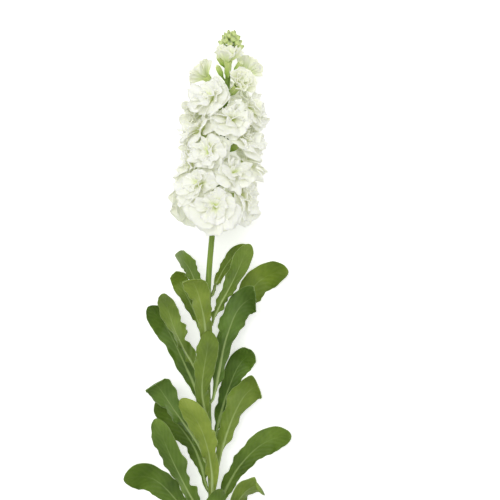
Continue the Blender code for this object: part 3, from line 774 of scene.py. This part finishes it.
def petal_skin(name, limb, shade, throat, throat_end):
    """Soft white petal: faint veins that fan out from the claw, and a green-yellow tint in the throat. Its
    slight glow stands for the light that passes through so many thin petals."""
    made, tree, shader = new_finish(name, {
        "Roughness": 0.62, "Specular IOR Level": 0.25, "Sheen Weight": 0.12, "Sheen Roughness": 0.5,
        "Subsurface Weight": 0.25, "Subsurface Radius": (0.0016, 0.0016, 0.0010),
        "Subsurface Scale": 1.0, "Emission Strength": PETAL_PAINTED_GLOW})
    _, along = sheet_places(tree)
    veins = noise(tree, places(tree, "UV"), 5.0, 3.0, (9.0, 0.7, 1.0))
    clouds = noise(tree, places(tree, "Object"), 160.0, 4.0)
    white = ramp(tree, veins, (0.25, shade), (0.60, limb))
    white = tinted(tree, 0.5, white, clouds, (0.30, (0.93, 0.94, 0.90)), (0.65, grey(1.0)))
    white = tinted(tree, 0.5, white, painted(tree, "tone"), (0.0, (0.95, 0.96, 0.91)), (1.0, grey(1.0)))
    reach = math_node(tree, "MULTIPLY_ADD", painted(tree, "depth"), -THROAT_DEPTH, along)
    tint = ramp(tree, reach, (0.0, grey(1.0)), (throat_end, grey(0.0)))
    coloured = blend(tree, "MIX", tint, white, throat)
    # Painted light: a yellow-green emission that lightens the petals' shade.
    glow = blend(tree, "MULTIPLY", 1.0, coloured, PETAL_PAINTED_GLOW_TINT)
    tree.links.new(coloured, shader.inputs["Base Color"])
    tree.links.new(glow, shader.inputs["Emission Color"])
    relief(tree, shader, veins, 0.0003, 0.35)
    return made


def grow_florets(first, count, whorls, phases, title, node, finish):
    """The florets on this run of stalks, each with its own draws for its petals."""
    for index in range(count):
        start, *first_phases = [FLORET_DRAW.uniform(0.0, 2.0 * math.pi) for _ in range(1 + phases)]
        petals = drawn_petals(first + index, whorls, start, first_phases)
        name = f"{title}_{index + 1:02d}"
        mesh = floret_mesh(name, STALKS[first + index], petals)
        thicken(grown(name, mesh, [finish], [f"{node}_{index + 1:02d}"]), PETAL_THICKNESS)


petal_white = petal_skin("petal_white_skin", (0.952, 0.955, 0.915), (0.918, 0.928, 0.850),
                         (0.78, 0.85, 0.46), 0.36)
grow_florets(0, BANDS[0].count, OPEN_WHORLS, 2, "open_floret", "floret", petal_white)

# The half-open florets above them: fewer and smaller petals, cream with a green tint, that stand up out
# of the calyx in a narrow fan. They are made as the open ones are, in steeper whorls.
HALF_OPEN_WHORLS = (
    Whorl(4, 0.0200, 0.0200, 76.0, 40.0, 0.0014, 0.0012, 0.05),
    Whorl(4, 0.0188, 0.0170, 82.0, 56.0, 0.0015, 0.0018, 0.0),
    Whorl(3, 0.0160, 0.0135, 87.0, 74.0, 0.0012, 0.0024, -0.08),
)
petal_cream = petal_skin("petal_cream_skin", (0.945, 0.950, 0.860), (0.900, 0.918, 0.775),
                         (0.62, 0.73, 0.28), 0.60)
grow_florets(BANDS[0].count, BANDS[1].count, HALF_OPEN_WHORLS, 1, "half_open_floret", "half_open",
             petal_cream)

# The buds about to open: four pale petals, each still wrapped round the bud with one edge under its
# neighbour, that just show above the green cup of their calyx.
TIP_LENGTH = 0.00645
TIP_WIDEST = 0.0027
TIP_NARROWEST = 0.0001
TIP_PROFILE = (0.22, 0.98)
TIP_BLUNTNESS = 0.75
TIP_SUNK = 0.0012
FOLDED = 4
FOLD_WRAP = 0.9
FOLD_TWIST = 0.8
FOLD_STEP = 0.00022
FOLD_RIPPLES = 5.0
FOLD_RIPPLE_DEPTH = 0.0002
FOLD_THICKNESS = 0.0003
BUD_DEPTH = 0.3
BUD_TONE = 0.5


def folded_petal(one, index, t, v):
    """One petal wrapped round the bud, with one edge under its neighbour and the other over the next."""
    first, second = round_about(one.facing)
    turn = (2.0 * math.pi / FOLDED * index + FOLD_WRAP * v + FOLD_TWIST * t)[:, None]
    profile = np.sin(math.pi * mix(*TIP_PROFILE, t)) ** TIP_BLUNTNESS
    radius = one.size * (TIP_WIDEST * profile - FOLD_RIPPLE_DEPTH * t - FOLD_STEP * v)
    radius = np.maximum(radius, TIP_NARROWEST)
    high = one.size * (TIP_LENGTH * t - TIP_SUNK)
    high = high + FOLD_RIPPLE_DEPTH * np.sin(FOLD_RIPPLES * v + index) * t
    away = around(first, second, turn)
    return one.mouth + one.facing * (high + SEAT_GAP)[:, None] + away * radius[:, None]


bud_white = petal_skin("bud_white_skin", (0.86, 0.90, 0.66), (0.76, 0.83, 0.50),
                       (0.52, 0.66, 0.22), 0.55)
for index in range(BANDS[2].count):
    one = STALKS[BANDS[0].count + BANDS[1].count + index]
    name = f"white_bud_{index + 1:02d}"
    mesh = sheets(name, FOLDED, 10, 8, lambda petal, t, v: folded_petal(one, petal, t, v))
    paint(mesh, "depth", BUD_DEPTH)
    paint(mesh, "tone", BUD_TONE)
    bud = grown(name, mesh, [bud_white], [f"bud_tip_{index + 1:02d}"])
    thicken(bud, FOLD_THICKNESS)

# The tuft at the tip: closed green buds on short stalks out of one knob, each of four pressed sepals,
# with the smallest buds still packed together in the middle. Each bud is painted pale in its middle as a
# highlight, and dark at its foot and tip as shade between the crowded buds.
TUFT_BUDS = 22
TUFT_HEIGHTS = (0.0104, 0.0032)
TUFT_FALLS = (8.0, 88.0)
TUFT_SPREAD = 0.5
TUFT_STALKS = (0.0046, 0.0052)
TUFT_SIZES = (0.86, 1.18)
TUFT_BUD_LENGTH = 0.0066
TUFT_BUD_RADIUS = 0.00240
TUFT_BUD_STALK = 0.0007
TUFT_BUD_LEAN = 0.35
TUFT_STALK_SHARE = 0.22
EGG_LOWNESS = 0.85
EGG_BLUNTNESS = 0.62
EGG_TAPER = 0.22
EGG_NECK = 0.12
EGG_CLOSING = 0.02
SEAM_DEPTH = 0.10
KNOB_LENGTH = 0.0108
KNOB_STATIONS = (0.0, 0.05, 0.40, 0.95, 1.0)
KNOB_RADII = (0.0, TIP_RADIUS, 0.0027, 0.0014, 0.0)
HEART_BUDS = 14
HEART_SHARE = 0.55
HEART_SIZE = 0.72
tuft_along, _, _ = axis_frame(STEM_LENGTH)
tuft_seat = axis_point(STEM_LENGTH) + tuft_along * SEAT_GAP
TuftBud = namedtuple("TuftBud", "root neck leaning length radius")


def tuft_bud(share, turn, scale):
    """One bud of the tuft, from the smallest at its top (share 0) to the largest at its foot (share 1)."""
    fall = math.radians(mix(*TUFT_FALLS, share**TUFT_SPREAD))
    direction = unit(around(tuft_along, outward(STEM_LENGTH, turn), fall))
    root = tuft_seat + tuft_along * mix(*TUFT_HEIGHTS, share)
    neck = root + direction * mix(*TUFT_STALKS, share)
    leaning = unit(direction + TUFT_BUD_LEAN * tuft_along)
    size = mix(*TUFT_SIZES, share) * scale
    return TuftBud(root, neck, leaning, TUFT_BUD_LENGTH * size, TUFT_BUD_RADIUS * size)


tuft_buds = [tuft_bud((index + 0.3) / TUFT_BUDS, index * GOLDEN_TURN, 1.0) for index in range(TUFT_BUDS)]
for index in range(HEART_BUDS):
    tuft_buds.append(tuft_bud(HEART_SHARE * index / HEART_BUDS, (index + 0.5) * GOLDEN_TURN, HEART_SIZE))


def tuft_surface(number, t, v):
    """A bud and its stalk in one skin: a thin stalk, then an egg with four seams and a blunt tip."""
    bud = tuft_buds[number]
    first, second = round_about(bud.leaning)
    egg = np.clip((t - TUFT_STALK_SHARE) / (1.0 - TUFT_STALK_SHARE), 0.0, 1.0)
    turn = math.pi * v
    seams = 1.0 - SEAM_DEPTH * np.abs(np.cos(2.0 * turn)) ** 6 * np.sin(math.pi * egg)
    profile = np.sin(math.pi * egg**EGG_LOWNESS) ** EGG_BLUNTNESS * (1.0 - EGG_TAPER * egg)
    radius = np.maximum(bud.radius * profile * seams, TUFT_BUD_STALK * (egg < EGG_NECK))
    radius = np.where(egg <= 0.0, TUFT_BUD_STALK, radius)
    radius = radius * np.clip((1.0 - t) / EGG_CLOSING, 0.0, 1.0)
    below = (bud.root - bud.neck) * np.clip(1.0 - t / TUFT_STALK_SHARE, 0.0, 1.0)[:, None]
    line = bud.neck + below + bud.leaning * (bud.length * egg)[:, None]
    return line + around(first, second, turn[:, None]) * radius[:, None]


def bud_skin():
    """Matt yellow-green bud, with a painted highlight in the middle of each sepal and painted shade at its
    foot and tip.
    """
    made, tree, shader = new_finish("bud_skin", {
        "Roughness": 0.55, "Sheen Weight": 0.2, "Subsurface Weight": 0.15, **GREEN_FLESH})
    _, along = sheet_places(tree)
    # Painted light: pale in the middle of each bud as a highlight, dark at its foot and tip as shade.
    bud_highlight_and_shade = ramp(tree, along, (0.0, (0.17, 0.27, 0.05)), (0.34, (0.44, 0.56, 0.15)),
                     (0.66, (0.82, 0.90, 0.42)), (0.86, (0.60, 0.70, 0.28)), (1.0, (0.10, 0.16, 0.05)))
    clouds = noise(tree, places(tree, "Object"), 700.0)
    toned = tinted(tree, 0.6, bud_highlight_and_shade, clouds, (0.30, (0.52, 0.60, 0.45)), (0.66, grey(1.0)))
    tree.links.new(toned, shader.inputs["Base Color"])
    relief(tree, shader, clouds, 0.0002, 0.5)
    return made


def knob_surface(_, t, v):
    """The knob that the tuft's stalks grow out of."""
    radius = np.interp(t, KNOB_STATIONS, KNOB_RADII)
    line = tuft_seat + tuft_along * (KNOB_LENGTH * t)[:, None]
    return line + outward(STEM_LENGTH, math.pi * v) * radius[:, None]


bud_green = bud_skin()
grown("tuft_buds", sheets("tuft_buds", len(tuft_buds), 18, 16, tuft_surface, rolled=True),
      [bud_green], ["bud_tuft"])
grown("tuft_knob", sheets("tuft_knob", 1, 12, 16, knob_surface, rolled=True),
      [bud_green], ["bud_tuft"])

# The leaves: long soft straps with a raised midrib underneath, a wavy margin and a thin pale rim that is a
# painted highlight. Some fold along the midrib or curl over at the tip. They stand in five rows: laid down,
# two rows spread on the table, two arch over them, and one lies along the stem, swinging to either side in
# turn.
Row = namedtuple("Row", "roll bow_from bow_to hook arch tip_height settle cupping freedom")

# A row's leaves share how they turn about their midrib, how they bow and hook sideways, how they arch,
# how high their tips lie and how soon they reach that, how hollow they are, and how freely they differ.
ROWS = (
    Row(180.0, -3.0, 14.0, 16.0, 0.010, 0.047, 1.0, 0.26, 1.0),
    Row(356.0, -14.0, -38.0, -24.0, 0.0, -0.0012, 0.40, 0.05, 0.2),
    Row(160.0, 15.0, 32.0, 34.0, 0.009, 0.018, 1.0, 0.26, 0.8),
    Row(202.0, -15.0, -30.0, -34.0, 0.009, 0.018, 1.0, 0.26, 0.8),
    Row(4.0, 14.0, 38.0, 24.0, 0.0, -0.0012, 0.40, 0.05, 0.2),
)
LEAF_DRAW = random.Random(28)
LEAVES_END = 0.408
MEAN_BOW_SHARE = 0.55
LEAF_LENGTH = 0.130
LEAF_WIDTH = 0.0250
NARROWEST_SHARE = 0.62
LEAF_EDGE_THICKNESS = 0.0005
RIB_THICKNESS = 0.0016
LEAF_ROWS = 64
LEAF_COLUMNS = 18
LEAF_ROUNDING = 0.03
WIDEST_SPREAD = 1.25
NARROWEST_SPREAD = 0.70
BASE_BOW_DRAW = 2.0
BOW_DRAW = 13.0
HOOK_DRAW = (-0.8, 2.0)
SWAY_DRAW = 9.0
LENGTH_DRAW = (0.70, 1.0)
WIDTH_DRAW = (0.85, 1.08)
ROLL_DRAW = 18.0
TWIST_DRAW = 26.0
CUPPING_DRAW = (0.3, 1.3)
FOLD_DRAW = (0.0, 0.70)
ARCH_DRAW = (0.8, 1.2)
TIP_HEIGHT_DRAW = (0.95, 1.2)
TIP_LIFT_DRAW = (-0.0060, 0.0120)
FLOOR_TIP_LIFT_DRAW = (0.0, 0.0110)
TIP_CURL_DRAW = (-70.0, 125.0)
FLOOR_TIP_CURL_DRAW = (0.0, 70.0)
SWAY_START = 0.25
ROLL_END = 0.40
BOW_END = 0.80
HOOK_START = 0.60
LIFT_START = 0.72
LIFT_END = 1.06
CURL_START = 0.66
MARGIN_WAVES = 4.5
MARGIN_SKEW = 1.4
MARGIN_DRIFT = 1.2
DRIFT_WAVES = 7.0
MARGIN_FADING = 0.45
FADING_WAVES = 9.0
FADING_SKEW = 1.3
SECOND_MARGIN = 0.80
MARGIN_RISE = 0.0021
MARGIN_NOTCH = 0.11
CRIMP_NOTCH = 0.05
CRIMP_RISE = 0.0013
MARGIN_START = 0.2
SMOOTHING = (0.55, 0.85)
SMOOTH_TIP_SHARE = 0.7
CRIMP_WAVES = 2.7
CRIMP_SKEW = 2.1
CRIMP_RISE_WAVES = 2.4
CRIMP_RISE_SKEW = 1.7
UNFOLDING = 0.7
TIP_FLATTENING = 1.25
FLATTENING = (0.60, 0.90)
RIB_WIDTH = 0.0011
RIB_TIP_SHARE = 0.15
GROOVE_DEPTH = 0.0004
LEAF_BASE_TUCK = 0.0022
LEAF_BASE_END = 0.05
LEAF_SIZES = (0.055, 0.130)
STRAP_WIDTHS = (0.15, 0.62)
STRAP_END = 0.45
BROADENING_START = 0.40
BROADENING_END = 0.78
NARROWING_START = 0.84
TIP_NARROWING = 0.50
TIP_NARROWING_POWER = 2.4
LEAF_PIECES = 16


def leaf_width(t):
    """A stock leaf is a long strap that is broadest near its rounded tip."""
    strap = mix(*STRAP_WIDTHS, smooth(t, 0.0, STRAP_END))
    strap = strap + (1.0 - STRAP_WIDTHS[1]) * smooth(t, BROADENING_START, BROADENING_END)
    at_tip = np.clip((t - NARROWING_START) / (1.0 - NARROWING_START), 0.0, 1.0)
    return strap * (1.0 - TIP_NARROWING * at_tip**TIP_NARROWING_POWER)


def leaf_blade(name, rows, columns, surface):
    """A thin closed leaf. surface(t, v, side) gives its points, with side 1 on the upper face and -1 on
    the lower one, where the second finish goes."""
    shape = bmesh.new()
    shape.loops.layers.uv.new("UVMap")
    along = shape.verts.layers.float.new("along")
    across = shape.verts.layers.float.new("across")
    side = shape.verts.layers.float.new("side")
    bmesh.ops.create_grid(shape, x_segments=columns, y_segments=rows, size=1.0, calc_uvs=True)
    for vert in shape.verts:
        vert[across] = vert.co.x
        vert[along] = 0.5 * (vert.co.y + 1.0)
        vert[side] = -1.0
    under = list(shape.faces)
    doubled = bmesh.ops.extrude_face_region(shape, geom=under, use_keep_orig=True)
    for part in doubled["geom"]:
        if isinstance(part, bmesh.types.BMVert):
            part[side] = 1.0
    for face in under:
        face.material_index = 1
    mesh = bpy.data.meshes.new(name)
    shape.to_mesh(mesh)
    shape.free()
    values = []
    for layer in ("along", "across", "side"):
        read = np.empty(len(mesh.vertices))
        mesh.attributes[layer].data.foreach_get("value", read)
        values.append(read)
        mesh.attributes.remove(mesh.attributes[layer])
    mesh.vertices.foreach_set("co", surface(*values).ravel())
    shape = bmesh.new()
    shape.from_mesh(mesh)
    bmesh.ops.recalc_face_normals(shape, faces=shape.faces)
    if shape.calc_volume(signed=True) < 0.0:
        bmesh.ops.reverse_faces(shape, faces=shape.faces)
    shape.to_mesh(mesh)
    shape.free()
    mesh.shade_smooth()
    return mesh


def leaf_mesh(number):
    """One leaf, from its seat on the stem to its tip."""
    share_up = number / (LEAVES - 1)
    station = leaf_station(number)
    row = ROWS[number % len(ROWS)]
    azimuth = ROW_AZIMUTHS[number % len(ROWS)]
    stem_run, right, _ = axis_frame(station)
    forward = unit(stem_run * (1.0, 1.0, 0.0))
    draw = LEAF_DRAW.uniform
    bow_from = row.bow_from + draw(-BASE_BOW_DRAW, BASE_BOW_DRAW)
    bow_to = row.bow_to * mix(WIDEST_SPREAD, NARROWEST_SPREAD, share_up) + draw(-BOW_DRAW, BOW_DRAW)
    hook = row.hook * draw(*HOOK_DRAW)
    sway = draw(-SWAY_DRAW, SWAY_DRAW)
    if row is ROWS[0] and (number // len(ROWS)) % 2 == 1:
        bow_from, bow_to, hook = -bow_from, -bow_to, -hook
    room = (LEAVES_END - station) / math.cos(math.radians(MEAN_BOW_SHARE * bow_to))
    length = min(LEAF_LENGTH, room) * draw(*LENGTH_DRAW)
    size = smooth(length, *LEAF_SIZES)
    width = LEAF_WIDTH * mix(NARROWEST_SHARE, 1.0, size) * draw(*WIDTH_DRAW)
    roll_from = 90.0 + azimuth
    roll_to = row.roll + draw(-ROLL_DRAW, ROLL_DRAW) * row.freedom
    twist = draw(-TWIST_DRAW, TWIST_DRAW) * row.freedom
    cupping = row.cupping * draw(*CUPPING_DRAW)
    fold = row.freedom * draw(*FOLD_DRAW)
    phase = draw(0.0, 2.0 * math.pi)
    arch = row.arch * draw(*ARCH_DRAW)
    tip_height = row.tip_height * draw(*TIP_HEIGHT_DRAW) + SET_DOWN[2]
    tip_lift = draw(*(TIP_LIFT_DRAW if row.tip_height > 0.0 else FLOOR_TIP_LIFT_DRAW))
    tip_curl = draw(*(TIP_CURL_DRAW if row.tip_height > 0.0 else FLOOR_TIP_CURL_DRAW))
    seat = stem_radius(station) + SEAT_GAP + 0.5 * RIB_THICKNESS
    away = outward(station, math.radians(azimuth))
    base = axis_point(station) + away * seat

    def heading(t):
        """The leaf's direction in plan."""
        bow = mix(bow_from, bow_to, smooth(t, 0.0, BOW_END))
        bow = bow + sway * np.sin(2.0 * math.pi * t) * smooth(t, 0.0, SWAY_START)
        angle = np.radians(bow + hook * smooth(t, HOOK_START, 1.0))[..., None]
        return around(forward, right, angle)

    def centre(t):
        """The midrib's line: it bows away from the stem in plan, rises and falls, and curls at its tip."""
        done = (np.arange(LEAF_PIECES)[None, :] + 0.5) / LEAF_PIECES * t[:, None]
        curl = np.radians(tip_curl * smooth(done, CURL_START, 1.0))[..., None]
        steps = around(heading(done), UP, curl) * (length * t / LEAF_PIECES)[:, None, None]
        line = base + steps.sum(axis=1)
        line[:, 2] += mix(base[2], tip_height, smooth(t, 0.0, row.settle)) - base[2]
        line[:, 2] += arch * np.sin(math.pi * np.minimum(t, 1.0))
        line[:, 2] += tip_lift * smooth(t, LIFT_START, LIFT_END)
        return line

    def surface(t, v, side):
        step = 0.01
        direction = unit(centre(t + step) - centre(t - step))
        level = unit(np.cross(heading(t), UP))
        above = np.cross(level, direction)
        roll = mix(roll_from, roll_to, smooth(t, 0.0, ROLL_END)) + twist * smooth(t, ROLL_END, 1.0)
        roll = np.radians(roll)[:, None]
        sideways = around(level, above, roll)
        upper = around(above, -level, roll)
        waviness = smooth(t, 0.0, MARGIN_START) * (1.0 - SMOOTH_TIP_SHARE * smooth(t, *SMOOTHING))
        fading = np.sin(FADING_WAVES * t + 3.0 * phase + FADING_SKEW * v)
        waviness = waviness * (1.0 + MARGIN_FADING * fading)
        waves = MARGIN_WAVES * np.where(v > 0.0, 1.0, SECOND_MARGIN)
        turn = 2.0 * math.pi * waves * t + MARGIN_SKEW * v + phase
        turn = turn + MARGIN_DRIFT * np.sin(DRIFT_WAVES * t + 2.0 * phase + v)
        notch = MARGIN_NOTCH * np.cos(turn) + CRIMP_NOTCH * np.cos(CRIMP_WAVES * turn + CRIMP_SKEW * v)
        half = 0.5 * width * leaf_width(t) * (1.0 + waviness * notch)
        wave = MARGIN_RISE * waviness * np.sin(turn) * v * v
        wave = wave + CRIMP_RISE * waviness * np.sin(CRIMP_RISE_WAVES * turn + CRIMP_RISE_SKEW * v) * v**4
        rib = np.exp(-((v * half / RIB_WIDTH) ** 2)) * mix(1.0, RIB_TIP_SHARE, t)
        depth = np.where(side > 0.0, 0.5 * LEAF_EDGE_THICKNESS - GROOVE_DEPTH * rib,
                         -0.5 * LEAF_EDGE_THICKNESS - (RIB_THICKNESS - LEAF_EDGE_THICKNESS) * rib)
        rounded = centre(t * (1.0 - LEAF_ROUNDING * v * v * t))
        folded = fold * np.abs(v) * (1.0 - UNFOLDING * smooth(t, 0.0, 1.0))
        hollow = (cupping * v * v + folded) * half
        if tip_curl * math.cos(math.radians(row.roll)) < 0.0:
            hollow = hollow * (1.0 - TIP_FLATTENING * smooth(t, *FLATTENING))
        rise = hollow + wave + depth
        points = rounded + sideways * (half * v)[:, None] + upper * rise[:, None]
        points = points - away * (LEAF_BASE_TUCK * smooth(t, LEAF_BASE_END, 0.0))[:, None]
        floor = SET_DOWN[2] + np.where(side > 0.0, LEAF_EDGE_THICKNESS, 0.0)
        points[:, 2] = np.maximum(points[:, 2], floor)
        return points

    return leaf_blade(f"leaf_{number + 1:02d}_blade", LEAF_ROWS, LEAF_COLUMNS, surface)


def leaf_skin(name, dark, green, pale, rib):
    """A soft satin leaf: clouded green, a pale midrib that fades towards the tip, and a thin pale rim that
    is a painted highlight along the edge.
    """
    made, tree, shader = new_finish(name, {
        "Roughness": 0.50, "Specular IOR Level": 0.24, "Subsurface Weight": 0.15,
        "Subsurface Radius": (0.0008, 0.0012, 0.0003), "Subsurface Scale": 1.0})
    across, along = sheet_places(tree)
    from_rib = math_node(tree, "ABSOLUTE", math_node(tree, "SUBTRACT", across, 0.5))
    breadth = ramp(tree, along, (0.0, grey(0.15)), (0.20, grey(0.30)), (0.45, grey(0.62)),
                   (0.80, grey(1.0)))
    off_rib = math_node(tree, "MULTIPLY", from_rib, breadth)
    slanted = math_node(tree, "SUBTRACT", along, math_node(tree, "MULTIPLY", off_rib, 0.45))
    between_veins = math_node(tree, "PINGPONG", slanted, 0.035)
    vein = ramp(tree, between_veins, (0.0, grey(1.0)), (0.030, grey(0.0)))
    object_places = places(tree, "Object")
    clouds = noise(tree, object_places, 38.0, 4.0)
    grain = noise(tree, object_places, 1400.0, 3.0)
    body = ramp(tree, clouds, (0.30, dark), (0.50, green), (0.72, pale))
    body = tinted(tree, 0.25, body, grain, (0.30, (0.72, 0.76, 0.68)), (0.70, grey(1.0)))
    body = tinted(tree, 1.0, body, painted(tree, "tone"), (0.0, (0.64, 0.75, 0.66)),
                  (1.0, (1.36, 1.20, 1.06)))
    body = tinted(tree, 1.0, body, along, (0.0, (1.30, 1.24, 1.40)), (0.30, grey(1.0)),
                  (0.92, grey(1.0)), (1.0, (1.10, 1.07, 1.10)))
    veined = blend(tree, "MIX", 0.035, body, blend(tree, "MIX", vein, body, rib))
    rib_width = ramp(tree, along, (0.0, grey(0.090)), (0.30, grey(0.058)), (0.55, grey(0.034)),
                     (0.90, grey(0.018)))
    rib_mask = ramp(tree, math_node(tree, "DIVIDE", off_rib, rib_width), (0.35, grey(1.0)),
                    (1.0, grey(0.0)))
    rib_mask = tinted(tree, 1.0, rib_mask, along, (0.22, grey(0.95)), (0.55, grey(0.42)),
                      (0.85, grey(0.05)))
    ribbed = blend(tree, "MIX", rib_mask, veined, rib)
    # Painted highlight: a thin pale rim along the leaf's edge.
    rim_highlight_mask = ramp(tree, from_rib, (0.472, grey(0.0)), (0.50, grey(0.50)))
    rim_highlighted = blend(tree, "MIX", rim_highlight_mask, ribbed, rib)
    tree.links.new(rim_highlighted, shader.inputs["Base Color"])
    relief(tree, shader, blend(tree, "MIX", 0.5, vein, clouds), 0.0006, 0.5)
    return made


leaf_upper = leaf_skin("leaf_upper_skin", (0.070, 0.128, 0.010), (0.122, 0.205, 0.018),
                       (0.196, 0.300, 0.038), (0.430, 0.550, 0.200))
leaf_under = leaf_skin("leaf_under_skin", (0.098, 0.162, 0.020), (0.150, 0.234, 0.032),
                       (0.220, 0.320, 0.054), (0.450, 0.570, 0.220))
for number in range(LEAVES):
    blade = leaf_mesh(number)
    paint(blade, "tone", random.Random(blade.name).random())
    grown(blade.name, blade, [leaf_upper, leaf_under], [f"leaf_{number + 1:02d}"])
